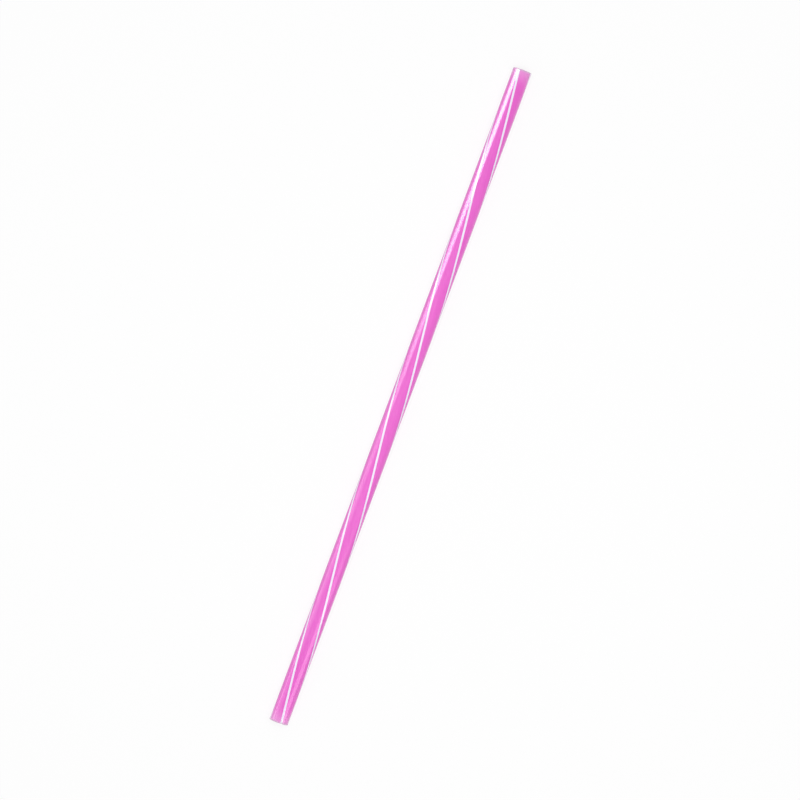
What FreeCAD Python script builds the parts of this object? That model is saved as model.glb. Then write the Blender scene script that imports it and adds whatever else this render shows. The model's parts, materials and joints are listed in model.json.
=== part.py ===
import FreeCAD, Part
import Sketcher
import math
import os

# A rigid, reusable drinking straw, open at both ends. It lies along X on the plane Z = 0, with its
# middle over the origin.
#
# One die extrudes it from two plastics: the coloured tube, and the white stripes that are set into the
# tube's outer face and end flush with it. The die turns slowly as the straw leaves it, so each stripe
# winds round the wall in a long left-handed helix. The cooled straw is cut square to length, and then
# tumbled until the edges of both mouths are round.
#
# So the whole outline is modelled first, as one blank. Each stripe is what the blank and a helical
# sweep have in common, and the tube is what the sweeps leave of the blank.

# Driving dimensions, in millimetres, degrees and plain counts.
DIMENSIONS = {
    "straw_length": 230.0,
    "outer_diameter": 6.35,
    "wall_thickness": 0.65,
    "rim_rounding": 0.2,
    # A mouth keeps a flat between its two rounded edges, so a rounding takes at most this share of
    # the wall.
    "largest_rounding_share": 0.4,
    "stripe_count": 4,
    "stripe_width": 0.7,
    "stripe_depth": 0.25,
    # How far along the straw a stripe goes while it winds once round the wall.
    "stripe_turn": 168.8,
    # Where the first stripe meets the -X mouth: from straight up, turning about +X.
    "stripe_start": 19.1,
    # How far a stripe's sweep reaches past the wall and past both mouths.
    "sweep_overrun": 1.0,
}

# Each stripe's volume comes within this share of its width x depth x length.
STRIPE_VOLUME_TOLERANCE = 0.1
# The most that two pieces may share, in cubic millimetres: less than the kernel's own rounding.
LARGEST_OVERLAP = 1e-4


def size_sheet(doc):
    """One row for each driving dimension: its name in column A, its value and alias in column B."""
    sheet = doc.addObject("Spreadsheet::Sheet", "sizes")
    for row, (name, value) in enumerate(DIMENSIONS.items(), start=1):
        sheet.set(f"A{row}", name)
        sheet.set(f"B{row}", str(value))
        sheet.setAlias(f"B{row}", name)
    doc.recompute()
    return sheet


def origin_feature(body, role):
    """The plane or axis of the body's own origin that has this role."""
    for feature in body.Origin.OriginFeatures:
        if feature.Role == role:
            return feature
    raise LookupError(role)


def section_sketch(body, name):
    """An empty sketch square to the straw: its X is the body's Y, and its Y is the body's Z."""
    sketch = body.newObject("Sketcher::SketchObject", name)
    sketch.AttachmentSupport = (origin_feature(body, "YZ_Plane"), "")
    sketch.MapMode = "FlatFace"
    return sketch


def drive(sketch, constraint, expression):
    """Adds a dimension to the sketch and lets the size sheet set it."""
    index = sketch.addConstraint(constraint)
    sketch.setExpression(f"Constraints[{index}]", expression)


def centred_circle(radius):
    return Part.Circle(FreeCAD.Vector(0, 0, 0), FreeCAD.Vector(0, 0, 1), radius)


def straw_blank(doc, sheet):
    """The straw's whole outline, both plastics together: a ring extruded to both sides of the
    middle, with round edges at its mouths."""
    blank = doc.addObject("PartDesign::Body", "straw_blank")

    ring = section_sketch(blank, "wall_section")
    outside = ring.addGeometry(centred_circle(sheet.outer_diameter / 2))
    bore = ring.addGeometry(centred_circle(sheet.outer_diameter / 2 - sheet.wall_thickness))
    for circle in (outside, bore):
        ring.addConstraint(Sketcher.Constraint("Coincident", circle, 3, -1, 1))
    drive(ring, Sketcher.Constraint("Diameter", outside, 1.0), "sizes.outer_diameter")
    drive(
        ring,
        Sketcher.Constraint("Diameter", bore, 1.0),
        "sizes.outer_diameter - 2 * sizes.wall_thickness",
    )

    wall = blank.newObject("PartDesign::Pad", "extruded_wall")
    wall.Profile = ring
    wall.SideType = "Symmetric"
    wall.setExpression("Length", "sizes.straw_length")
    doc.recompute()

    mouth_edges = [
        f"Edge{number}"
        for number, edge in enumerate(wall.Shape.Edges, start=1)
        if isinstance(edge.Curve, Part.Circle)
    ]
    rims = blank.newObject("PartDesign::Fillet", "round_mouths")
    rims.Base = (wall, mouth_edges)
    rims.setExpression(
        "Radius", "min(sizes.rim_rounding; sizes.largest_rounding_share * sizes.wall_thickness)"
    )
    doc.recompute()
    return blank


def stripe_section(body, sheet, number):
    """The section of one stripe, with an arched floor and a top that stands clear of the wall.

    It is drawn straight up from the straw's axis. The sketch is then turned to the stripe's own place
    round the straw, and moved out past the -X mouth, where the helix is that much further round."""
    section = section_sketch(body, f"stripe_section_{number}")
    section.setExpression(
        "AttachmentOffset.Base.z", "-sizes.straw_length / 2 - sizes.sweep_overrun"
    )
    section.setExpression(
        "AttachmentOffset.Rotation.Angle",
        f"sizes.stripe_start + {number - 1} * 360 / sizes.stripe_count"
        " + 360 * sizes.sweep_overrun / sizes.stripe_turn",
    )

    floor_radius = sheet.outer_diameter / 2 - sheet.stripe_depth
    half_width = sheet.stripe_width / 2
    half_angle = math.asin(half_width / floor_radius)
    floor_height = floor_radius * math.cos(half_angle)
    top_height = sheet.outer_diameter / 2 + sheet.sweep_overrun
    right_foot = FreeCAD.Vector(half_width, floor_height, 0)
    right_top = FreeCAD.Vector(half_width, top_height, 0)
    left_top = FreeCAD.Vector(-half_width, top_height, 0)
    left_foot = FreeCAD.Vector(-half_width, floor_height, 0)

    floor = section.addGeometry(
        Part.ArcOfCircle(
            centred_circle(floor_radius), math.pi / 2 - half_angle, math.pi / 2 + half_angle
        )
    )
    right_side = section.addGeometry(Part.LineSegment(right_foot, right_top))
    top = section.addGeometry(Part.LineSegment(right_top, left_top))
    left_side = section.addGeometry(Part.LineSegment(left_top, left_foot))

    section.addConstraint(Sketcher.Constraint("Coincident", floor, 3, -1, 1))
    section.addConstraint(Sketcher.Constraint("Coincident", floor, 1, right_side, 1))
    section.addConstraint(Sketcher.Constraint("Coincident", right_side, 2, top, 1))
    section.addConstraint(Sketcher.Constraint("Coincident", top, 2, left_side, 1))
    section.addConstraint(Sketcher.Constraint("Coincident", left_side, 2, floor, 2))
    section.addConstraint(Sketcher.Constraint("Vertical", right_side))
    section.addConstraint(Sketcher.Constraint("Vertical", left_side))
    section.addConstraint(Sketcher.Constraint("Symmetric", top, 1, top, 2, -2))
    drive(section, Sketcher.Constraint("DistanceX", floor, 2, floor, 1, 1.0), "sizes.stripe_width")
    drive(
        section,
        Sketcher.Constraint("Radius", floor, 1.0),
        "sizes.outer_diameter / 2 - sizes.stripe_depth",
    )
    drive(
        section,
        Sketcher.Constraint("DistanceY", -1, 1, top, 1, 1.0),
        "sizes.outer_diameter / 2 + sizes.sweep_overrun",
    )
    doc.recompute()
    return section


def stripe_sweep(doc, sheet, number):
    """The left-handed helix that one stripe follows, from past one mouth to past the other."""
    body = doc.addObject("PartDesign::Body", f"stripe_sweep_{number}")
    section = stripe_section(body, sheet, number)
    sweep = body.newObject("PartDesign::AdditiveHelix", f"stripe_helix_{number}")
    sweep.Profile = section
    sweep.ReferenceAxis = (origin_feature(body, "X_Axis"), [""])
    sweep.Mode = "pitch-height-angle"
    sweep.setExpression("Pitch", "sizes.stripe_turn")
    sweep.setExpression("Height", "sizes.straw_length + 2 * sizes.sweep_overrun")
    sweep.Angle = 0
    sweep.LeftHanded = True
    doc.recompute()
    return body


def white_stripe(doc, blank, sweep, number):
    """One stripe: the part of its sweep that lies in the wall, flush with the outside and the rims."""
    stripe = doc.addObject("Part::MultiCommon", f"white_stripe_{number}")
    stripe.Shapes = [blank, sweep]
    return stripe


def coloured_tube(doc, blank, sweeps):
    """The tube: the blank with a bed for each stripe."""
    beds = doc.addObject("Part::Compound", "stripe_beds")
    beds.Links = sweeps
    tube = doc.addObject("Part::Cut", "straw_tube")
    tube.Base = blank
    tube.Tool = beds
    return tube


def lay_on_floor(doc, pieces):
    """Lifts the pieces together, so that the straw rests on Z = 0 along its lowest line."""
    for piece in pieces:
        piece.setExpression("Placement.Base.z", "sizes.outer_diameter / 2")
    doc.recompute()


def check_pieces(doc, pieces):
    """Stops if a feature failed, or a piece isn't one closed, valid solid."""
    for item in doc.Objects:
        if {"Invalid", "Error"} & set(item.State):
            raise RuntimeError(f"{item.Label} failed: {item.getStatusString()}")
    for piece in pieces:
        shape = piece.Shape
        if shape.isNull() or not shape.isValid() or len(shape.Solids) != 1:
            raise RuntimeError(f"{piece.Label} is not one valid solid")


def check_fit(sheet, blank, tube, stripes):
    """Stops unless the stripes have their size, and fill their beds in the tube exactly."""
    expected = sheet.stripe_width * sheet.stripe_depth * sheet.straw_length
    for stripe in stripes:
        if abs(stripe.Shape.Volume - expected) > STRIPE_VOLUME_TOLERANCE * expected:
            raise RuntimeError(f"{stripe.Label} is {stripe.Shape.Volume:.2f} mm3, not {expected:.2f}")
        if stripe.Shape.common(tube.Shape).Volume > LARGEST_OVERLAP:
            raise RuntimeError(f"{stripe.Label} overlaps {tube.Label}")
    filled = tube.Shape.Volume + sum(stripe.Shape.Volume for stripe in stripes)
    if not math.isclose(filled, blank.Shape.Volume, rel_tol=1e-4):
        raise RuntimeError(f"the pieces fill {filled:.2f} mm3 of {blank.Shape.Volume:.2f} mm3")


doc = FreeCAD.newDocument("drinking_straw")
sheet = size_sheet(doc)

blank = straw_blank(doc, sheet)
numbers = range(1, int(sheet.stripe_count) + 1)
sweeps = [stripe_sweep(doc, sheet, number) for number in numbers]
stripes = [white_stripe(doc, blank, sweep, number) for number, sweep in zip(numbers, sweeps)]
tube = coloured_tube(doc, blank, sweeps)
pieces = [tube, *stripes]
lay_on_floor(doc, pieces)

check_pieces(doc, pieces)
check_fit(sheet, blank, tube, stripes)

os.makedirs("parts", exist_ok=True)
for piece in pieces:
    piece.Shape.exportStep(f"parts/{piece.Label}.step")
    print(f"{piece.Label}: {piece.Shape.Volume:.1f} mm3, {len(piece.Shape.Faces)} faces")
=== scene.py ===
# %% [markdown]
# # Dressing a striped drinking straw
#
# The real straw is one piece made of two plastics. Pink polypropylene is melted and pushed through a
# ring-shaped die, and four small side channels feed white into the ring's outer skin. The soft tube is
# turned slowly as it is pulled away, so the white lines wind round it. Then it is cooled, cut to
# length, and tumbled until the cut edges are smooth.
#
# This lesson goes the same way: first the sizes, then the pink wall with a bed for each stripe, then
# the four white stripes, then the two plastics, and last the studio that they are looked at in.

# %% Load the frame that every piece is built around
import json
import math

import bmesh
import bpy
from mathutils import Matrix, Vector


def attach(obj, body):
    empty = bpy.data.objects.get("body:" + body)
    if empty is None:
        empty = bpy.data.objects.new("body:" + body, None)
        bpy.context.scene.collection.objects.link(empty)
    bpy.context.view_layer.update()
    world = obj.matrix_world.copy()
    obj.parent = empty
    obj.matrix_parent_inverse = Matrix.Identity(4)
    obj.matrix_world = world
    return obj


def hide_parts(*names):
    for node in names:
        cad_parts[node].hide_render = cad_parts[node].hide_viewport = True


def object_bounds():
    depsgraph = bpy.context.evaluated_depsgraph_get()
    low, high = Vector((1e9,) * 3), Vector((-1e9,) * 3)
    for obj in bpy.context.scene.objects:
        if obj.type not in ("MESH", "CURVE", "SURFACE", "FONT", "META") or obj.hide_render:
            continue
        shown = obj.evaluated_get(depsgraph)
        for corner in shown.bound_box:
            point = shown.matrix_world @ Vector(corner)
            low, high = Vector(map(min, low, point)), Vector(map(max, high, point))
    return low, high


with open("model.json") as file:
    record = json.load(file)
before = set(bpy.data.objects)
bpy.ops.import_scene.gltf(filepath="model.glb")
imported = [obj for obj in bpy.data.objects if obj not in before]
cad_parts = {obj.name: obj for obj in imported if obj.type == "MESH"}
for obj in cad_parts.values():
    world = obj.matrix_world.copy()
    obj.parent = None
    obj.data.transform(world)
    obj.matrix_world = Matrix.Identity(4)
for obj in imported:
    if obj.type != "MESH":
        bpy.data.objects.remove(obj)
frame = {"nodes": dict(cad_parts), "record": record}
cad_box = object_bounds()
print("the frame holds", sorted(frame["nodes"]))

# %% [markdown]
# ## Sizes
#
# The straw lies along X, on the floor at z = 0. Its length comes from the frame's box, and its two
# diameters from the mounts in the record: the outside that fits a lid's hole, and the bore that a
# cleaning brush goes through. The record doesn't carry the sizes of the rims and stripes, so they are
# repeated here as the drawing gives them.
#
# Everything below is first made round the X axis, as on a lathe, and only then raised to the height at
# which the straw rests.

# %% Sizes of the tube
MM = 0.001
mount_sizes = {mount["name"]: mount["dims"] for mount in frame["record"]["mounts"]}
OUTER_RADIUS = mount_sizes["outside"]["r_mm"] * MM
BORE_RADIUS = mount_sizes["bore"]["r_mm"] * MM
HALF_LENGTH = (cad_box[1].x - cad_box[0].x) / 2
RIM_ROUNDING = 0.2 * MM
print(f"tube {2 * HALF_LENGTH / MM:.1f} mm long, {2 * OUTER_RADIUS / MM:.2f} mm thick,"
      f" bore {2 * BORE_RADIUS / MM:.2f} mm")

# %% Sizes of the stripes
STRIPE_COUNT = 4
STRIPE_WIDTH = 0.7 * MM
STRIPE_DEPTH = 0.25 * MM
STRIPE_TURN = 168.8 * MM
STRIPE_START = math.radians(19.1)

BED_FLOOR = OUTER_RADIUS - STRIPE_DEPTH
STRIPE_HALF_ANGLE = math.asin(STRIPE_WIDTH / 2 / OUTER_RADIUS)
print(f"each stripe covers {math.degrees(2 * STRIPE_HALF_ANGLE):.1f} degrees of the tube"
      f" and makes {2 * HALF_LENGTH / STRIPE_TURN:.2f} turns")

# %% [markdown]
# ## The outline of the wall
#
# A tube could be a cylinder with a second one taken out of it. That leaves sharp rims, and its end
# faces are rings that don't bend well. It is cleaner to draw what a saw would show if it split the
# straw along its length: one long thin loop, with a small arc at each of its four corners. Swept round
# the axis, that loop closes into outside, rims and bore in one go.
#
# The loop needs points close together on the outside, because the stripes wind there, and a point on
# each end face at the depth of the beds.

# %% Draw the outline of the wall
RIM_STEPS = 5
OUTSIDE_STEPS = 230
BORE_STEPS = 92


def rim_arc(along, out, first_degrees):
    """A quarter turn of a rounded edge about (along, out), clockwise from first_degrees."""
    angles = [math.radians(first_degrees - 90 * step / RIM_STEPS) for step in range(RIM_STEPS + 1)]
    return [
        (along + RIM_ROUNDING * math.cos(angle), out + RIM_ROUNDING * math.sin(angle))
        for angle in angles
    ]


def straight_run(start, end, out, steps):
    """Evenly spaced points between two arcs, without the arcs' own end points."""
    return [(start + (end - start) * step / steps, out) for step in range(1, steps)]


straight_end = HALF_LENGTH - RIM_ROUNDING
outside_run = (
    [(-HALF_LENGTH, BED_FLOOR)]
    + rim_arc(-straight_end, OUTER_RADIUS - RIM_ROUNDING, 180)
    + straight_run(-straight_end, straight_end, OUTER_RADIUS, OUTSIDE_STEPS)
    + rim_arc(straight_end, OUTER_RADIUS - RIM_ROUNDING, 90)
    + [(HALF_LENGTH, BED_FLOOR)]
)
bore_run = (
    rim_arc(straight_end, BORE_RADIUS + RIM_ROUNDING, 0)
    + straight_run(straight_end, -straight_end, BORE_RADIUS, BORE_STEPS)
    + rim_arc(-straight_end, BORE_RADIUS + RIM_ROUNDING, -90)
)
wall_loop = outside_run + bore_run
print("the wall's outline has", len(wall_loop), "points")


# %% Keep an outline as the mesh that a node tree starts from
def outline_object(name, points, closed):
    """A chain of edges in the XZ plane: x is the place along the straw, z the distance from its axis."""
    last = len(points) if closed else len(points) - 1
    edges = [(number, (number + 1) % len(points)) for number in range(last)]
    mesh = bpy.data.meshes.new(name)
    mesh.from_pydata([(along, 0, out) for along, out in points], edges, [])
    made = bpy.data.objects.new(name, mesh)
    bpy.context.scene.collection.objects.link(made)
    return made


pink_tube = outline_object("pink_tube", wall_loop, closed=True)
white_stripes = outline_object("white_stripes", outside_run, closed=False)
print("the stripes start from", len(white_stripes.data.vertices), "of those points")

# %% [markdown]
# ## Helpers for node trees
#
# Node trees are usually drawn by hand. Here they are written, and a few short helpers keep that
# readable. `add_node` adds one node and wires or sets its inputs. `maths` is a Math node that gives back
# its output, so a formula in the tree reads much like one on paper, and `map_range` moves a number from
# one range to another. `new_tree` makes a geometry tree with named inputs.

# %% Helpers for node trees
def add_node(tree, kind, inputs=None, **settings):
    """Adds a node. An input, by name or number, is linked to an output or set to a plain value."""
    made = tree.nodes.new(kind)
    for name, value in settings.items():
        setattr(made, name, value)
    for socket, value in (inputs or {}).items():
        if isinstance(value, bpy.types.NodeSocket):
            tree.links.new(value, made.inputs[socket])
        else:
            made.inputs[socket].default_value = value
    return made


def maths(tree, operation, *values):
    return add_node(tree, "ShaderNodeMath", dict(enumerate(values)), operation=operation).outputs[0]


def map_range(tree, value, old_start, old_end, new_start, new_end, **settings):
    sockets = dict(enumerate((value, old_start, old_end, new_start, new_end)))
    return add_node(tree, "ShaderNodeMapRange", sockets, **settings).outputs[0]


def new_tree(name, inputs, outputs):
    """A geometry node tree with named inputs and outputs, and its two end nodes."""
    tree = bpy.data.node_groups.new(name, "GeometryNodeTree")
    for label, kind in inputs.items():
        tree.interface.new_socket(label, in_out="INPUT", socket_type="NodeSocket" + kind)
    for label, kind in outputs.items():
        tree.interface.new_socket(label, in_out="OUTPUT", socket_type="NodeSocket" + kind)
    return tree, tree.nodes.new("NodeGroupInput").outputs, tree.nodes.new("NodeGroupOutput").inputs


# %% [markdown]
# ## The winding rule
#
# Each point of the straw is known by three numbers: how far along it is, how far out from the axis, and
# how far round. Before the winding, a stripe is a straight line: it keeps one angle all the way along.
# The puller's turning adds an angle that grows with the distance along, and the whole pattern leans
# over into a left-handed helix.
#
# Both pieces have to wind in exactly the same way, or the stripes wouldn't lie in their beds. So the
# rule is one small tree of its own, which the two others use. It also gives back the point as it was
# before the winding, because the marks that the die leaves in the plastic follow that place.

# %% The winding rule as a tree of its own
SIZE_INPUTS = {"Half Length": "Float", "Turn": "Float", "Start Angle": "Float"}
winding, given, result = new_tree(
    "wind_round_the_axis",
    {"Along": "Float", "Out": "Float", "Around": "Float", **SIZE_INPUTS},
    {"Wound": "Vector", "Unwound": "Vector"},
)


def place_round_axis(tree, along, out, around):
    """The point at an angle round the X axis, counted from straight up towards -Y."""
    across = maths(tree, "MULTIPLY", out, maths(tree, "SINE", around))
    up = maths(tree, "MULTIPLY", out, maths(tree, "COSINE", around))
    back = maths(tree, "MULTIPLY", across, -1.0)
    return add_node(tree, "ShaderNodeCombineXYZ", {"X": along, "Y": back, "Z": up}).outputs[0]


travelled = maths(winding, "ADD", given["Along"], given["Half Length"])
turns = maths(winding, "DIVIDE", travelled, given["Turn"])
started = maths(winding, "ADD", given["Around"], given["Start Angle"])
wound_angle = maths(winding, "SUBTRACT", started, maths(winding, "MULTIPLY", turns, math.tau))
wound = place_round_axis(winding, given["Along"], given["Out"], wound_angle)
unwound = place_round_axis(winding, given["Along"], given["Out"], given["Around"])
winding.links.new(wound, result["Wound"])
winding.links.new(unwound, result["Unwound"])
print("the winding rule has", len(winding.nodes), "nodes")

# %% [markdown]
# ## From outline to tube
#
# The tree for the wall sweeps the outline round a ring of columns. A column is one place round the
# tube, and each quarter has the same set: a few columns across the bed of a stripe, then more across
# the pink to the next bed. At each side of a bed two columns share one angle. One stays on the outside,
# the other drops to the bed's floor, and the face between them is the bed's upright side.
#
# Curve to Mesh only knits the faces. It is given two curves that carry their numbers as captured
# attributes, and the winding rule then puts every point where it belongs. Where two columns agree, as
# they do all through the bore, Merge by Distance sews them together, so the wall is one closed skin.

# %% The columns round the tube
BED_COLUMNS = 6
PINK_COLUMNS = 20


def capture(tree, geometry, fields, domain="POINT"):
    """Stores fields on the geometry, and returns it and the stored fields by name."""
    node = add_node(tree, "GeometryNodeCaptureAttribute", {"Geometry": geometry}, domain=domain)
    for name, field in fields.items():
        node.capture_items.new("FLOAT", name)
        tree.links.new(field, node.inputs[name])
    return node.outputs["Geometry"], {name: node.outputs[name] for name in fields}


def choose(tree, when, if_false, if_true):
    """A Switch between two numbers."""
    sockets = {"Switch": when, "False": if_false, "True": if_true}
    return add_node(tree, "GeometryNodeSwitch", sockets, input_type="FLOAT").outputs[0]


def is_less(tree, value, limit):
    sockets = {"A": value, "B": limit}
    return add_node(tree, "FunctionNodeCompare", sockets, operation="LESS_THAN").outputs[0]


def tube_columns(tree, stripe_count, half_angle):
    """A closed ring of columns, with each one's angle and whether it lies in a bed."""
    in_a_sector = BED_COLUMNS + PINK_COLUMNS + 2
    count = maths(tree, "MULTIPLY", stripe_count, float(in_a_sector))
    line = add_node(tree, "GeometryNodeMeshLine", {"Count": count})
    index = tree.nodes.new("GeometryNodeInputIndex").outputs[0]
    sector = maths(tree, "FLOOR", maths(tree, "DIVIDE", index, float(in_a_sector)))
    column = maths(tree, "SUBTRACT", index, maths(tree, "MULTIPLY", sector, float(in_a_sector)))
    sector_angle = maths(tree, "DIVIDE", math.tau, stripe_count)
    far_side = maths(tree, "SUBTRACT", sector_angle, half_angle)
    near_side = maths(tree, "MULTIPLY", half_angle, -1.0)
    across_bed = map_range(tree, column, 0.0, float(BED_COLUMNS), near_side, half_angle)
    first_pink = float(BED_COLUMNS + 1)
    across_pink = map_range(tree, column, first_pink, float(in_a_sector - 1), half_angle, far_side)
    in_bed = is_less(tree, column, first_pink - 0.5)
    around = maths(
        tree,
        "ADD",
        choose(tree, in_bed, across_pink, across_bed),
        maths(tree, "MULTIPLY", sector, sector_angle),
    )
    fields = {"Around": around, "In Bed": in_bed, "Column": index}
    points, fields = capture(tree, line.outputs[0], fields)
    ring = add_node(tree, "GeometryNodeMeshToCurve", {"Mesh": points}).outputs[0]
    closed = add_node(tree, "GeometryNodeSetSplineCyclic", {"Geometry": ring, "Cyclic": True})
    return closed.outputs[0], fields


# %% Finish a tree: smooth faces, a clean seam, one material
SEAM_GAP = 0.001 * MM
SHARP_ANGLE = math.radians(40)


def finished(tree, geometry, material):
    """Smooth shading up to a sharp angle, then real geometry with its material."""
    angle = tree.nodes.new("GeometryNodeInputMeshEdgeAngle").outputs["Unsigned Angle"]
    smooth_faces = add_node(tree, "GeometryNodeSetShadeSmooth", {"Geometry": geometry}, domain="FACE")
    sockets = {
        "Geometry": smooth_faces.outputs[0],
        "Shade Smooth": is_less(tree, angle, SHARP_ANGLE),
    }
    soft_edges = add_node(tree, "GeometryNodeSetShadeSmooth", sockets, domain="EDGE")
    real = add_node(tree, "GeometryNodeRealizeInstances", {"Geometry": soft_edges.outputs[0]})
    sockets = {"Geometry": real.outputs[0], "Material": material}
    return add_node(tree, "GeometryNodeSetMaterial", sockets).outputs[0]


# %% Helpers that give the outline to a tree, wind it and raise it
def outline_curve(tree, outline):
    """The outline as a curve whose points know how far along and out they are."""
    position = tree.nodes.new("GeometryNodeInputPosition").outputs[0]
    parts = add_node(tree, "ShaderNodeSeparateXYZ", {0: position}).outputs
    step = tree.nodes.new("GeometryNodeInputIndex").outputs[0]
    fields = {"Along": parts["X"], "Out": parts["Z"], "Step": step}
    points, fields = capture(tree, outline, fields)
    return add_node(tree, "GeometryNodeMeshToCurve", {"Mesh": points}).outputs[0], fields


def wind(tree, given, geometry, along, out, around):
    """Puts every point where the winding rule says, and keeps its unwound place for the plastic."""
    rule = add_node(tree, "GeometryNodeGroup", node_tree=winding)
    for name in SIZE_INPUTS:
        tree.links.new(given[name], rule.inputs[name])
    for name, field in {"Along": along, "Out": out, "Around": around}.items():
        tree.links.new(field, rule.inputs[name])
    marked = add_node(
        tree,
        "GeometryNodeStoreNamedAttribute",
        {"Geometry": geometry, "Name": "unwound", "Value": rule.outputs["Unwound"]},
        data_type="FLOAT_VECTOR",
    )
    sockets = {"Geometry": marked.outputs[0], "Position": rule.outputs["Wound"]}
    return add_node(tree, "GeometryNodeSetPosition", sockets).outputs[0]


def raise_to_axis(tree, geometry, height):
    lift = add_node(tree, "ShaderNodeCombineXYZ", {"Z": height}).outputs[0]
    sockets = {"Geometry": geometry, "Translation": lift}
    return add_node(tree, "GeometryNodeTransform", sockets).outputs[0]


# %% The tree for the pink wall, up to the winding
PIECE_INPUTS = {
    "Outline": "Geometry",
    **SIZE_INPUTS,
    "Stripe Count": "Int",
    "Stripe Half Angle": "Float",
    "Bed Floor": "Float",
    "Axis Height": "Float",
    "Material": "Material",
}

wall_tree, given, result = new_tree("pink_wall", PIECE_INPUTS, {"Wall": "Geometry"})
outline, section = outline_curve(wall_tree, given["Outline"])
ring, columns = tube_columns(wall_tree, given["Stripe Count"], given["Stripe Half Angle"])
skin = add_node(wall_tree, "GeometryNodeCurveToMesh", {"Curve": ring, "Profile Curve": outline})
lowered = maths(wall_tree, "MINIMUM", section["Out"], given["Bed Floor"])
out = choose(wall_tree, columns["In Bed"], section["Out"], lowered)
wound = wind(wall_tree, given, skin.outputs[0], section["Along"], out, columns["Around"])

# %% [markdown]
# ## The wall laid out flat
#
# When the straw leaves Blender, its colours are painted onto a flat texture, so every face needs its
# own place on that sheet. An automatic unwrap would cut a long twisted tube into hundreds of scraps.
# This wall already knows its own layout: the running number of the column gives one direction and that
# of the outline's point the other. So the outside becomes one long rectangle, and the bore a second,
# narrower one above it.
#
# The numbers have to be read before the doubles are merged, while each face still has its own corners.
# The last face of a ring is the awkward one, because it runs from the last number back to zero. There
# the helper `unrolled` counts on instead of jumping back.

# %% Helpers for the flat layout
def unrolled(tree, number, count):
    """A ring's running number at a face's corners and middle, where the last face ends at count."""
    middle = add_node(
        tree, "GeometryNodeFieldOnDomain", {0: number}, data_type="FLOAT", domain="FACE"
    ).outputs[0]
    below = maths(tree, "SUBTRACT", middle, number)
    on_last_face = maths(tree, "GREATER_THAN", maths(tree, "ABSOLUTE", below), 1.0)
    at_its_end = maths(tree, "GREATER_THAN", below, 1.0)
    return (
        maths(tree, "MULTIPLY_ADD", at_its_end, count, number),
        maths(tree, "MULTIPLY_ADD", on_last_face, count, middle),
    )


def store_map(tree, geometry, across_map, up_map):
    """Keeps a flat layout as a UV map, under the name that a texture bake looks for."""
    place = add_node(tree, "ShaderNodeCombineXYZ", {"X": across_map, "Y": up_map}).outputs[0]
    return add_node(
        tree,
        "GeometryNodeStoreNamedAttribute",
        {"Geometry": geometry, "Name": "OFBake", "Value": place},
        data_type="FLOAT2",
        domain="CORNER",
    ).outputs[0]


# %% Lay the wall out flat for its texture, then sew and finish it
SHEET_LEFT, SHEET_RIGHT = 0.01, 0.99
OUTSIDE_ROWS = (0.01, 0.57)
BORE_ROWS = (0.59, 0.99)

column_count = float(STRIPE_COUNT * (BED_COLUMNS + PINK_COLUMNS + 2))
outside_last, loop_count = float(len(outside_run) - 1), float(len(wall_loop))
step, middle_step = unrolled(wall_tree, section["Step"], loop_count)
column, _ = unrolled(wall_tree, columns["Column"], column_count)
outside = is_less(wall_tree, middle_step, outside_last)
across_map = choose(
    wall_tree,
    outside,
    map_range(wall_tree, step, outside_last, loop_count, SHEET_RIGHT, SHEET_LEFT),
    map_range(wall_tree, step, 0.0, outside_last, SHEET_RIGHT, SHEET_LEFT),
)
up_map = choose(
    wall_tree,
    outside,
    map_range(wall_tree, column, 0.0, column_count, *BORE_ROWS),
    map_range(wall_tree, column, 0.0, column_count, *OUTSIDE_ROWS),
)
mapped = store_map(wall_tree, wound, across_map, up_map)
sewn = add_node(wall_tree, "GeometryNodeMergeByDistance", {"Geometry": mapped, "Distance": SEAM_GAP})
outwards = add_node(wall_tree, "GeometryNodeFlipFaces", {"Mesh": sewn.outputs[0]})
raised = raise_to_axis(wall_tree, outwards.outputs[0], given["Axis Height"])
wall_tree.links.new(finished(wall_tree, raised, given["Material"]), result["Wall"])
print("the wall's tree has", len(wall_tree.nodes), "nodes and", int(column_count), "columns")

# %% [markdown]
# ## From tree to plain mesh
#
# The tree hangs on the outline as a modifier, and its named inputs are set by each socket's identifier.
# The modifier's result is then copied into a plain mesh, because the later steps move, bake and
# export real faces. The mesh is tested on the spot: a closed skin has every edge between exactly two
# faces, and if its faces point outwards its volume comes out positive.

# %% Turn a tree's result into a plain, tested mesh
def make_plain(piece, tree, values):
    """Runs the tree on the piece, keeps the result as its mesh, and returns its volume in mm3."""
    modifier = piece.modifiers.new(tree.name, "NODES")
    modifier.node_group = tree
    for socket in tree.interface.items_tree:
        if socket.name in values:
            modifier[socket.identifier] = values[socket.name]
    evaluated = piece.evaluated_get(bpy.context.evaluated_depsgraph_get())
    outline_mesh = piece.data
    piece.data = bpy.data.meshes.new_from_object(evaluated)
    piece.data.name = piece.name
    piece.modifiers.clear()
    bpy.data.meshes.remove(outline_mesh)
    piece.data.materials.clear()
    piece.data.materials.append(values["Material"])
    piece.data.polygons.foreach_set("material_index", [0] * len(piece.data.polygons))
    skin = bmesh.new()
    skin.from_mesh(piece.data)
    open_edges = sum(1 for edge in skin.edges if len(edge.link_faces) != 2)
    volume = skin.calc_volume(signed=True) / MM**3
    skin.free()
    print(f"{piece.name}: {len(piece.data.polygons)} faces, {open_edges} open edges,"
          f" {volume:.1f} mm3")
    return volume


pink_polypropylene = bpy.data.materials.new("pink_polypropylene")
SHARED_VALUES = {
    "Half Length": HALF_LENGTH,
    "Turn": STRIPE_TURN,
    "Start Angle": STRIPE_START,
    "Stripe Count": STRIPE_COUNT,
    "Stripe Half Angle": STRIPE_HALF_ANGLE,
    "Bed Floor": BED_FLOOR,
    "Axis Height": OUTER_RADIUS,
}
tube_volume = make_plain(pink_tube, wall_tree, {**SHARED_VALUES, "Material": pink_polypropylene})

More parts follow.
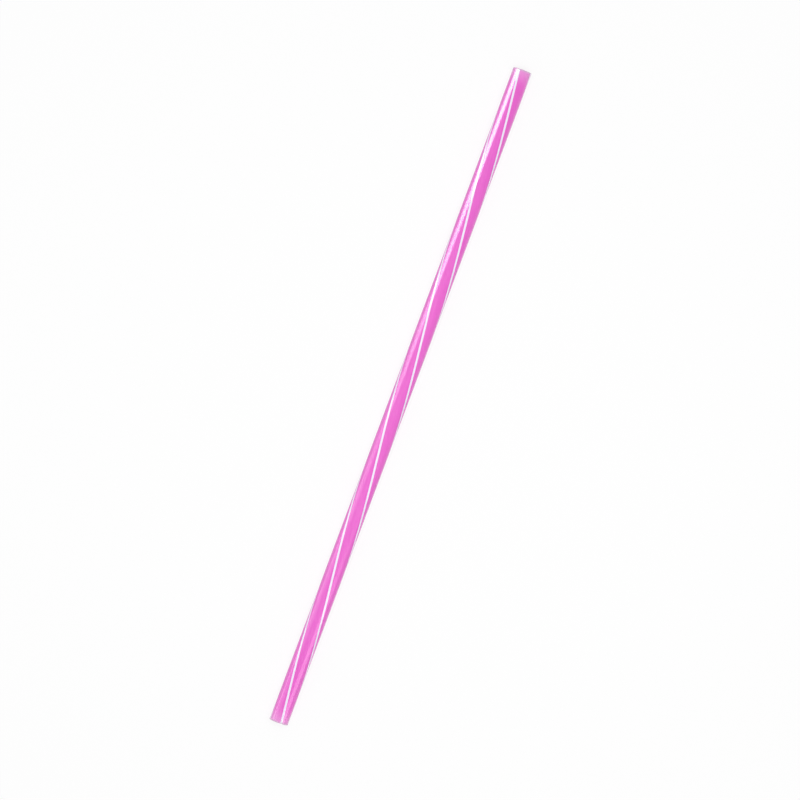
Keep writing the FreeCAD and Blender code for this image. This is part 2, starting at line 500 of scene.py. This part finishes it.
# %% [markdown]
# ## The four white stripes
#
# A stripe is a long thin strand that fills its bed, flush with the outside. It follows the same
# outline, but only the outside run of it, so it is rounded off at the two rims just as the wall is.
#
# Its tree does the opposite of the wall's: it sweeps a small closed section along the length. The
# section has an upper side on the outline and a lower side on the bed's floor. At both ends the outline
# comes down to the floor, so upper and lower side meet there, and merging the doubles closes the strand
# without a cap.
#
# One strand is made, and the other three are instances of it, turned round the axis. Instances are
# light, but they are lost in an export, so Realize Instances makes them real at the end. Each instance
# keeps its number, which gives it a row of its own when the strands are laid out flat.

# %% The section of one stripe, as a closed ring of points
def stripe_ring(tree, half_angle):
    """Points over the top of the stripe and back along its floor, with angle and level."""
    line = add_node(tree, "GeometryNodeMeshLine", {"Count": 2 * (BED_COLUMNS + 1)})
    index = tree.nodes.new("GeometryNodeInputIndex").outputs[0]
    near_side = maths(tree, "MULTIPLY", half_angle, -1.0)
    steps, back = float(BED_COLUMNS), float(BED_COLUMNS + 1)
    over_top = map_range(tree, index, 0.0, steps, near_side, half_angle)
    along_floor = map_range(tree, index, back, back + steps, half_angle, near_side)
    on_top = is_less(tree, index, back - 0.5)
    around = choose(tree, on_top, along_floor, over_top)
    fields = {"Around": around, "On Top": on_top, "Column": index}
    points, fields = capture(tree, line.outputs[0], fields)
    ring = add_node(tree, "GeometryNodeMeshToCurve", {"Mesh": points}).outputs[0]
    closed = add_node(tree, "GeometryNodeSetSplineCyclic", {"Geometry": ring, "Cyclic": True})
    return closed.outputs[0], fields


# %% The tree for the stripes
stripe_tree, given, result = new_tree("white_stripes", PIECE_INPUTS, {"Stripes": "Geometry"})
outline, run = outline_curve(stripe_tree, given["Outline"])
ring, section = stripe_ring(stripe_tree, given["Stripe Half Angle"])
skin = add_node(stripe_tree, "GeometryNodeCurveToMesh", {"Curve": outline, "Profile Curve": ring})
out = choose(stripe_tree, section["On Top"], given["Bed Floor"], run["Out"])
strand = wind(stripe_tree, given, skin.outputs[0], run["Along"], out, section["Around"])

across = maths(stripe_tree, "DIVIDE", section["Around"], given["Stripe Half Angle"])
marked = add_node(
    stripe_tree,
    "GeometryNodeStoreNamedAttribute",
    {"Geometry": strand, "Name": "across", "Value": across},
)
STRAND_ROWS = (0.02, 0.98)
ring_count = float(2 * (BED_COLUMNS + 1))
column, _ = unrolled(stripe_tree, section["Column"], ring_count)
flat = {
    "Across": map_range(stripe_tree, run["Step"], 0.0, outside_last, SHEET_RIGHT, SHEET_LEFT),
    "Up": map_range(stripe_tree, column, 0.0, ring_count, *STRAND_ROWS),
}
strand, flat = capture(stripe_tree, marked.outputs[0], flat, domain="CORNER")
sockets = {"Geometry": strand, "Distance": SEAM_GAP}
closed = add_node(stripe_tree, "GeometryNodeMergeByDistance", sockets)
print("one strand is", int(ring_count), "points round and", len(outside_run), "along")

# %% Repeat the strand round the axis
places = add_node(
    stripe_tree,
    "GeometryNodeMeshLine",
    {"Count": given["Stripe Count"], "Offset": (0.0, 0.0, 0.0)},
)
number = stripe_tree.nodes.new("GeometryNodeInputIndex").outputs[0]
step_angle = maths(stripe_tree, "DIVIDE", math.tau, given["Stripe Count"])
place_angle = maths(stripe_tree, "MULTIPLY", number, step_angle)
strands = add_node(
    stripe_tree,
    "GeometryNodeInstanceOnPoints",
    {
        "Points": places.outputs[0],
        "Instance": closed.outputs[0],
        "Rotation": add_node(stripe_tree, "ShaderNodeCombineXYZ", {"X": place_angle}).outputs[0],
    },
)
numbered, strand = capture(stripe_tree, strands.outputs[0], {"Number": number}, domain="INSTANCE")
raised = raise_to_axis(stripe_tree, numbered, given["Axis Height"])
real = add_node(stripe_tree, "GeometryNodeRealizeInstances", {"Geometry": raised}).outputs[0]
row = maths(stripe_tree, "ADD", flat["Up"], strand["Number"])
up_map = maths(stripe_tree, "DIVIDE", row, given["Stripe Count"])
mapped = store_map(stripe_tree, real, flat["Across"], up_map)
stripe_tree.links.new(finished(stripe_tree, mapped, given["Material"]), result["Stripes"])

white_polypropylene = bpy.data.materials.new("white_polypropylene")
stripes_volume = make_plain(
    white_stripes, stripe_tree, {**SHARED_VALUES, "Material": white_polypropylene}
)
print(f"white makes up {100 * stripes_volume / (tube_volume + stripes_volume):.0f}% of the straw")

# %% [markdown]
# ## The skin of an extruded straw
#
# Polypropylene leaves the die with a smooth, softly glossy skin. Looked at closely, that skin carries
# faint lines that run with the stripes: any speck on the die's lip draws a line, and the winding turns
# it with everything else. A picture of scratches could be wrapped round the tube, but it would show a
# seam and repeat. Here the lines are a noise that is read from each point's unwound place and stretched
# far along the straw, so they start straight and then wind by themselves.
#
# The gloss has two layers: a dull one that spreads a lamp's reflection into a haze, and a clear coat
# that draws its sharp core. Only broad, shallow ridges become relief, because relief finer than the
# eye can part turns a highlight into beads. The coat's gloss follows broad lines too, and the finest
# lines are left to the colour and the dull layer.
#
# Tumbling leaves the two rims matt and slightly rough, so near the ends the coat fades and a fine grain
# takes over.

# %% Helpers for the two plastics
def start_material(material):
    """Empties a material's tree and returns it with a Principled BSDF wired to the output."""
    material.use_nodes = True
    tree = material.node_tree
    tree.nodes.clear()
    surface = add_node(tree, "ShaderNodeBsdfPrincipled")
    add_node(tree, "ShaderNodeOutputMaterial", {"Surface": surface.outputs[0]})
    return tree, surface


NOISE_LOW, NOISE_HIGH = 0.3, 0.7


def noise(tree, place, along, per_metre, detail):
    """A noise from 0 to 1: per_metre grains to the metre, but only along times as many along X."""
    sockets = {"Vector": place, "Scale": (along, 1.0, 1.0)}
    stretched = add_node(tree, "ShaderNodeMapping", sockets).outputs[0]
    sockets = {"Vector": stretched, "Scale": per_metre, "Detail": detail}
    weak = add_node(tree, "ShaderNodeTexNoise", sockets).outputs[0]
    return map_range(tree, weak, NOISE_LOW, NOISE_HIGH, 0.0, 1.0)


def vary(tree, pattern, middle, spread):
    """A number that swings by spread about middle as the pattern goes from 0 to 1."""
    return maths(tree, "MULTIPLY_ADD", pattern, spread, middle - spread / 2)


def blend_colours(tree, factor, first, second):
    sockets = {0: factor, 6: first, 7: second}
    return add_node(tree, "ShaderNodeMix", sockets, data_type="RGBA").outputs[2]


def near_an_end(tree, reach):
    """1 at the two ends of the straw, fading to 0 at a distance of reach."""
    place = add_node(tree, "ShaderNodeTexCoord").outputs["Object"]
    along = add_node(tree, "ShaderNodeSeparateXYZ", {0: place}).outputs["X"]
    distance = maths(tree, "SUBTRACT", HALF_LENGTH, maths(tree, "ABSOLUTE", along))
    return map_range(tree, distance, 0.0, reach, 1.0, 0.0, interpolation_type="SMOOTHSTEP")


# %% The skin that both plastics share
RIM_REACH = 0.9 * MM
DULL_ROUGHNESS, DULL_SPREAD, RIM_DULLER = 0.42, 0.16, 0.3
COAT_ROUGHNESS, COAT_SPREAD = 0.14, 0.03
COAT_WEIGHT, RIM_COAT_LOSS = 0.9, 0.7
PLASTIC_IOR = 1.5
DULL_SPECULAR = 0.38


def set_gloss(tree, surface, broad_lines, fine_lines, rim):
    """The dull layer under the clear coat, and how both change towards the rims."""
    dulled = vary(tree, fine_lines, DULL_ROUGHNESS, DULL_SPREAD)
    matt_rim = maths(tree, "MULTIPLY_ADD", rim, RIM_DULLER, dulled)
    tree.links.new(matt_rim, surface.inputs["Roughness"])
    coat_lines = vary(tree, broad_lines, COAT_ROUGHNESS, COAT_SPREAD)
    tree.links.new(coat_lines, surface.inputs["Coat Roughness"])
    coat = maths(tree, "MULTIPLY_ADD", rim, -RIM_COAT_LOSS, COAT_WEIGHT)
    tree.links.new(coat, surface.inputs["Coat Weight"])
    surface.inputs["IOR"].default_value = PLASTIC_IOR
    surface.inputs["Specular IOR Level"].default_value = DULL_SPECULAR


# %% The die's lines and ridges, and the grain of the rims
LINE_DETAIL = 2.0
RIDGE_HEIGHT = 0.005 * MM
GRAIN_HEIGHT = 0.03 * MM


def straw_skin(tree, surface):
    """Sets gloss and relief, and returns the broad and fine die lines and the share of rim."""
    unwound = add_node(tree, "ShaderNodeAttribute", attribute_name="unwound").outputs["Vector"]
    object_place = add_node(tree, "ShaderNodeTexCoord").outputs["Object"]
    ridges = noise(tree, unwound, along=0.01, per_metre=1300.0, detail=0.0)
    broad_lines = noise(tree, unwound, along=0.01, per_metre=1500.0, detail=LINE_DETAIL)
    fine_lines = noise(tree, unwound, along=0.004, per_metre=7000.0, detail=LINE_DETAIL)
    grain = noise(tree, object_place, along=1.0, per_metre=11000.0, detail=LINE_DETAIL)
    rim = near_an_end(tree, RIM_REACH)
    set_gloss(tree, surface, broad_lines, fine_lines, rim)

    sockets = {"Height": ridges, "Distance": RIDGE_HEIGHT}
    ridged = add_node(tree, "ShaderNodeBump", sockets).outputs[0]
    sockets = {"Height": grain, "Distance": GRAIN_HEIGHT, "Strength": rim, "Normal": ridged}
    tumbled = add_node(tree, "ShaderNodeBump", sockets).outputs[0]
    tree.links.new(tumbled, surface.inputs["Normal"])
    tree.links.new(ridged, surface.inputs["Coat Normal"])
    return broad_lines, fine_lines, rim


# %% [markdown]
# ## The pink plastic
#
# The colour is mixed into the melt, and never quite evenly: some die lines are a little deeper and some
# a little lighter, and faint clouds drift along the tube. Three noises are weighed together and choose
# between two close pinks.
#
# Light comes in through an open mouth and shines out through the thin wall, so the last few millimetres
# look paler. Real translucency would show this too, but it is slow to render and most file formats drop
# it. So this glow is painted light here: a paler pink that fades in towards the ends looks the same and
# survives. The tumbled rim is greyish lilac.

# %% The pink polypropylene
PINK_DEEP = (0.785, 0.072, 0.565, 1.0)
PINK_LIGHT = (0.825, 0.118, 0.620, 1.0)
# painted glow: a paler pink that stands in for light shining out through the wall near the mouths
PINK_PAINTED_GLOW = (0.83, 0.26, 0.68, 1.0)
RIM_LILAC = (0.74, 0.47, 0.69, 1.0)
BROAD_SHARE, CLOUD_SHARE, FINE_SHARE = 0.4, 0.3, 0.3
PAINTED_GLOW_REACH = 8 * MM
PAINTED_GLOW_FALL = 2.0

tree, surface = start_material(pink_polypropylene)
broad_lines, fine_lines, rim = straw_skin(tree, surface)
object_place = add_node(tree, "ShaderNodeTexCoord").outputs["Object"]
clouds = noise(tree, object_place, along=0.5, per_metre=140.0, detail=LINE_DETAIL)
clouds_alone = maths(tree, "MULTIPLY", clouds, CLOUD_SHARE)
with_broad_lines = maths(tree, "MULTIPLY_ADD", broad_lines, BROAD_SHARE, clouds_alone)
uneven = maths(tree, "MULTIPLY_ADD", fine_lines, FINE_SHARE, with_broad_lines)
body = blend_colours(tree, uneven, PINK_DEEP, PINK_LIGHT)
# painted glow: the pink turns paler towards both ends, where light from the open mouth would shine out
# of the wall
mouth = maths(tree, "POWER", near_an_end(tree, PAINTED_GLOW_REACH), PAINTED_GLOW_FALL)
with_painted_glow = blend_colours(tree, mouth, body, PINK_PAINTED_GLOW)
tree.links.new(blend_colours(tree, rim, with_painted_glow, RIM_LILAC), surface.inputs["Base Color"])
print("the pink plastic has", len(tree.nodes), "nodes")

# %% [markdown]
# ## The white plastic
#
# The white is the same polypropylene with a white pigment. It is only a quarter of a millimetre thick,
# so it looks cool and slightly lavender, and along its two sides the pink shows through and makes the
# edges rosy. The stripes carry a number for this, from -1 at one side to 1 at the other. Blending by it
# keeps the edges at the same width however the stripe winds, which a pattern in space couldn't.

# %% The white polypropylene
WHITE_THICK = (0.88, 0.85, 0.97, 1.0)
WHITE_THIN = (0.85, 0.60, 0.87, 1.0)
RIM_GREY = (0.76, 0.70, 0.80, 1.0)
EDGE_WANDER = 0.3
EDGE_START, EDGE_END = 0.75, 1.15
EDGE_THINNESS, CLOUD_THINNESS = 0.7, 0.2

tree, surface = start_material(white_polypropylene)
_, fine_lines, rim = straw_skin(tree, surface)
object_place = add_node(tree, "ShaderNodeTexCoord").outputs["Object"]
across = add_node(tree, "ShaderNodeAttribute", attribute_name="across").outputs["Fac"]
wandering = maths(tree, "MULTIPLY_ADD", fine_lines, EDGE_WANDER, maths(tree, "ABSOLUTE", across))
edge = (EDGE_START, EDGE_END, 0.0, EDGE_THINNESS)
side = map_range(tree, wandering, *edge, interpolation_type="SMOOTHSTEP")
clouds = noise(tree, object_place, along=0.3, per_metre=220.0, detail=LINE_DETAIL)
thin = maths(tree, "MULTIPLY_ADD", clouds, CLOUD_THINNESS, side)
white = blend_colours(tree, thin, WHITE_THICK, WHITE_THIN)
tree.links.new(blend_colours(tree, rim, white, RIM_GREY), surface.inputs["Base Color"])
print("the white plastic has", len(tree.nodes), "nodes")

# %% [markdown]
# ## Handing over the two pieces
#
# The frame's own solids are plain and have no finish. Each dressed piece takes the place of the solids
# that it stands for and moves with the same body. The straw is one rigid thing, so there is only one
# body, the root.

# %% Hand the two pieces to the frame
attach(pink_tube, "root")
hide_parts("straw_tube")
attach(white_stripes, "root")
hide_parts(*[f"white_stripe_{number + 1}" for number in range(STRIPE_COUNT)])
print("pieces:", pink_tube.name, white_stripes.name)

# %% [markdown]
# ## The studio: paper and sky
#
# The straw lies on a white sheet of paper, which is simply a large plane. Lit paper alone never comes
# out as an even white, and more lamps would bleach the straw. So the camera sees mostly a plain white
# glow, with enough of the lit paper in it to keep the straw's soft shadow. The straw's gloss mirrors the
# glow alone. To the light that falls on the straw it is ordinary paper.
#
# The sky works the same way: it is white to look at, but it gives only half of that as light.

# %% The paper that the straw lies on
PAPER_WIDTH = 6.0
PAPER_COLOUR = (0.98, 0.98, 0.98, 1.0)
WHITE = (1, 1, 1, 1)
GLOW_SHARE = 0.85

corners = [(-1, -1), (1, -1), (1, 1), (-1, 1)]
paper_mesh = bpy.data.meshes.new("paper")
paper_mesh.from_pydata(
    [(x * PAPER_WIDTH / 2, y * PAPER_WIDTH / 2, 0) for x, y in corners], [], [(0, 1, 2, 3)]
)
paper = bpy.data.objects.new("paper", paper_mesh)
bpy.context.scene.collection.objects.link(paper)
paper_white = bpy.data.materials.new("paper_white")
tree, surface = start_material(paper_white)
surface.inputs["Base Color"].default_value = PAPER_COLOUR
surface.inputs["Roughness"].default_value = 1.0
surface.inputs["Specular IOR Level"].default_value = 0.0
glow = add_node(tree, "ShaderNodeEmission", {"Color": WHITE, "Strength": 1.0})
rays = add_node(tree, "ShaderNodeLightPath").outputs
share = maths(tree, "MULTIPLY_ADD", rays["Is Camera Ray"], GLOW_SHARE, rays["Is Glossy Ray"])
mixed = add_node(tree, "ShaderNodeMixShader", {0: share, 1: surface.outputs[0], 2: glow.outputs[0]})
tree.links.new(mixed.outputs[0], tree.nodes["Material Output"].inputs["Surface"])
paper_mesh.materials.append(paper_white)
print("the paper is", PAPER_WIDTH, "m wide")

# %% The white sky
SKY_LIGHT = 0.5

world = bpy.data.worlds.new("white_sky")
bpy.context.scene.world = world
world.use_nodes = True
sky = world.node_tree
sky.nodes.clear()
rays = add_node(sky, "ShaderNodeLightPath").outputs
seen = maths(sky, "MAXIMUM", rays["Is Camera Ray"], rays["Is Glossy Ray"])
seen = maths(sky, "MAXIMUM", seen, rays["Is Transmission Ray"])
strength = maths(sky, "MULTIPLY_ADD", seen, 1.0 - SKY_LIGHT, SKY_LIGHT)
background = add_node(sky, "ShaderNodeBackground", {"Color": WHITE, "Strength": strength})
add_node(sky, "ShaderNodeOutputWorld", {"Surface": background.outputs[0]})
print("the sky looks like 1.0 and lights with", SKY_LIGHT)

# %% [markdown]
# ## The studio: lamps
#
# A round shiny rod mirrors a whole arc of the room in its few millimetres, so in a studio its highlights
# are built one by one. The lamps here are parted in the same way. One soft panel overhead and a faint
# cool window give the colour its gentle fall to both sides. They are chosen for how they light.
#
# The others are chosen for where they are mirrored, and only show in the gloss. A long panel at the
# side draws the crisp white line near one edge. It is made of strips, each dimmer than the last, so the
# line fades out along the straw instead of stopping. Four white cards add the fainter streaks. None of
# them is very thin and very bright, because such a card comes out as a dotted line on so slim a rod.

# %% A soft panel
def soft_panel(name, place, target, width, height, radiance, tint=(1, 1, 1)):
    """A rectangular lamp at place that faces target, whose width runs along X as far as it can."""
    lamp = bpy.data.lights.new(name, "AREA")
    lamp.shape = "RECTANGLE"
    lamp.size, lamp.size_y = width, height
    lamp.energy = radiance * math.pi * width * height
    lamp.color = tint
    panel = bpy.data.objects.new(name, lamp)
    bpy.context.scene.collection.objects.link(panel)
    away = (Vector(place) - Vector(target)).normalized()
    upward = away.cross(Vector((1, 0, 0))).normalized()
    sideways = upward.cross(away)
    facing = Matrix((sideways, upward, away)).transposed().to_4x4()
    panel.matrix_world = Matrix.Translation(place) @ facing
    panel.visible_camera = False
    return panel


# %% Panels that light the straw
MIDDLE = (0, 0, 0)
WINDOW_TINT = (0.88, 0.93, 1.0)

overhead_panel = soft_panel(
    "overhead_panel", (-0.01, -0.03, 0.55), MIDDLE, width=0.25, height=0.4, radiance=5.0
)
overhead_panel.visible_glossy = False
window_panel = soft_panel(
    "window_panel", (0.1, 0.80, 0.60), MIDDLE, width=1.3, height=0.6, radiance=0.22, tint=WINDOW_TINT
)
print("for the light:", overhead_panel.name, "and", window_panel.name)


# %% A long panel at the side that fades towards one end
def side_strip(number, start, end, from_overhead, height, radiance):
    """One strip of the long panel, a metre from the straw, at an angle counted from straight up."""
    angle = math.radians(from_overhead)
    middle = (start + end) / 2
    place = (middle, math.sin(angle), math.cos(angle))
    name = f"side_strip_{number}"
    return soft_panel(name, place, (middle, 0, 0), abs(end - start), height, radiance)


side_strips = [
    side_strip(1, start=0.402, end=0.182, from_overhead=59.5, height=0.66, radiance=15.5),
    side_strip(2, start=0.182, end=0.122, from_overhead=54.5, height=0.76, radiance=14.5),
    side_strip(3, start=0.122, end=0.072, from_overhead=57.0, height=0.46, radiance=10.0),
    side_strip(4, start=0.072, end=0.002, from_overhead=57.0, height=0.46, radiance=4.0),
]
print("the long panel has", len(side_strips), "strips")

# %% White cards that only show in the gloss
NEAR_MIDDLE = (-0.1, 0, 0)

cards = [
    soft_panel("left_card", (-0.35, 0.80, 0.60), NEAR_MIDDLE, width=0.7, height=0.8, radiance=0.4),
    soft_panel("low_card", (0.35, 0.9, 0.1), MIDDLE, width=0.7, height=0.2, radiance=5.6),
    soft_panel("low_end_card", (-0.35, 0.9, 0.15), MIDDLE, width=0.7, height=0.3, radiance=2.4),
    soft_panel("right_card", (-0.4, -0.75, 0.63), NEAR_MIDDLE, width=0.6, height=0.8, radiance=2.8),
]
for panel in side_strips + cards:
    panel.visible_diffuse = False
print("only for the gloss:", ", ".join(panel.name for panel in side_strips + cards))

# %% [markdown]
# ## The camera
#
# The camera hangs straight above and is turned, so the straw leans a little to the right. A long lens
# from 1.1 m keeps both ends nearly the same width, and the picture's colours are shown as they are,
# without a film look.

# %% The camera, straight above, with the straw leaning as it lies
CAMERA_PLACE = (-0.0012, -0.00028, 1.1)
CAMERA_TURN = -69.47
CAMERA_LENS = 149.3

camera_data = bpy.data.cameras.new("camera")
camera_data.lens = CAMERA_LENS
camera = bpy.data.objects.new("camera", camera_data)
bpy.context.scene.collection.objects.link(camera)
camera.location = CAMERA_PLACE
camera.rotation_euler = (0, 0, math.radians(CAMERA_TURN))
bpy.context.scene.camera = camera
bpy.context.scene.view_settings.view_transform = "Standard"
print(f"the camera hangs {camera.location.z:.1f} m up, turned by {CAMERA_TURN} degrees")
